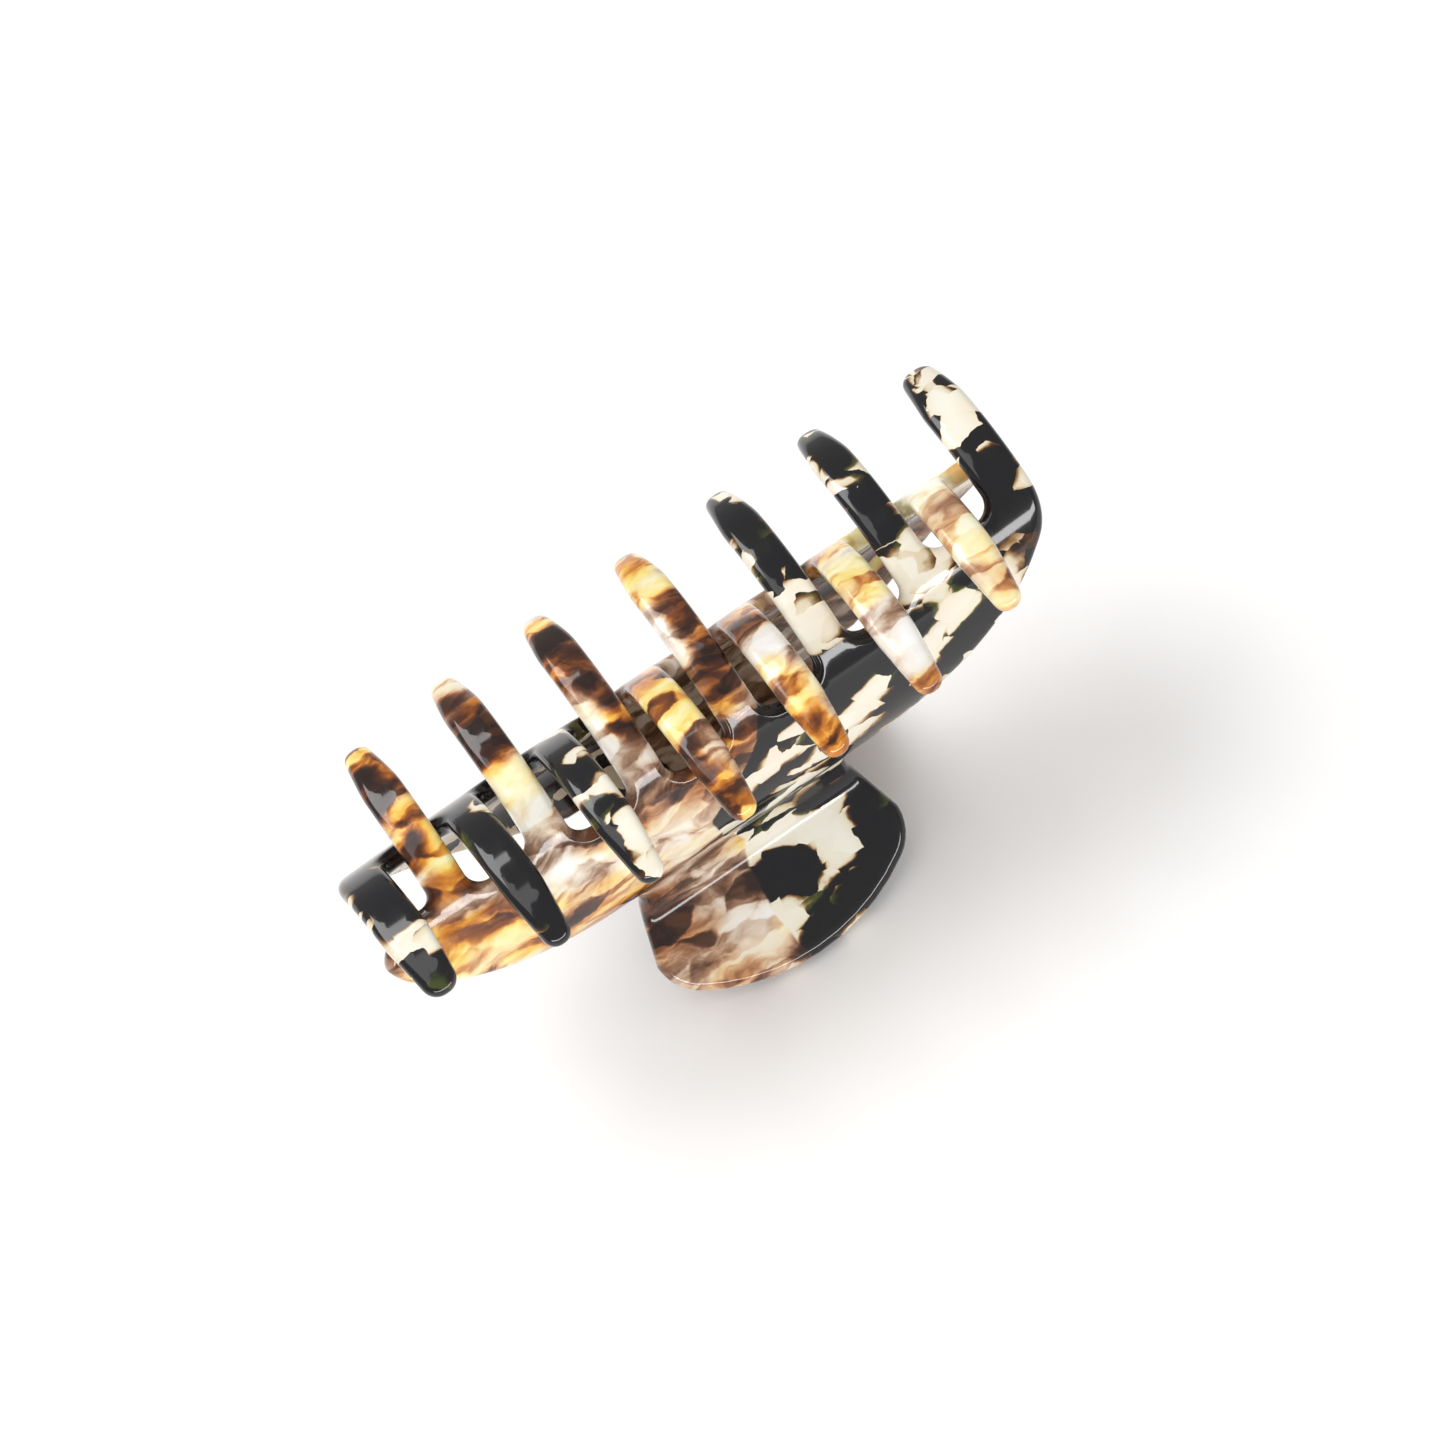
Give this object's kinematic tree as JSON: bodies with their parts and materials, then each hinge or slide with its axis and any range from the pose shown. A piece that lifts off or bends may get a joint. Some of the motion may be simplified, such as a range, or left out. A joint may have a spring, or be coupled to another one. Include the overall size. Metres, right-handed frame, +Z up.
{
  "type": "hair claw clip",
  "caption": "Spring-loaded hair claw clip: two curved acetate jaws with interlocking teeth and thumb tabs, joined by a steel leaf hinge, pin and coil spring.",
  "frame": {"origin": "centre of the bottom of the bounding box, straight under the hinge pin, with the thumb tabs' ends resting on Z = 0", "axes": "+X along the hinge pin and the row of teeth, +Y from the front jaw to the back jaw, +Z up from the thumb tabs to the teeth"},
  "size_m": [0.1132, 0.0472, 0.0548],
  "materials": {
    "acetate": "gloss",
    "steel": "satin"
  },
  "bodies": {
    "front_side": {"front_jaw": "acetate", "front_leaf": "steel", "front_screws": "steel", "hinge_pin": "steel", "torsion_spring": "steel"},
    "back_side": {"back_jaw": "acetate", "back_leaf": "steel", "back_screws": "steel"}
  },
  "joints": [
    {"name": "jaw_hinge", "type": "hinge", "parent": "front_side", "child": "back_side", "pos_m": [0, 0, 0.0178], "axis": [-1, 0, 0], "range_deg": [0, 55], "stiffness_Nm_per_rad": 0.023, "springref_deg": -91.67, "deforming": ["torsion_spring"]}
  ]
}
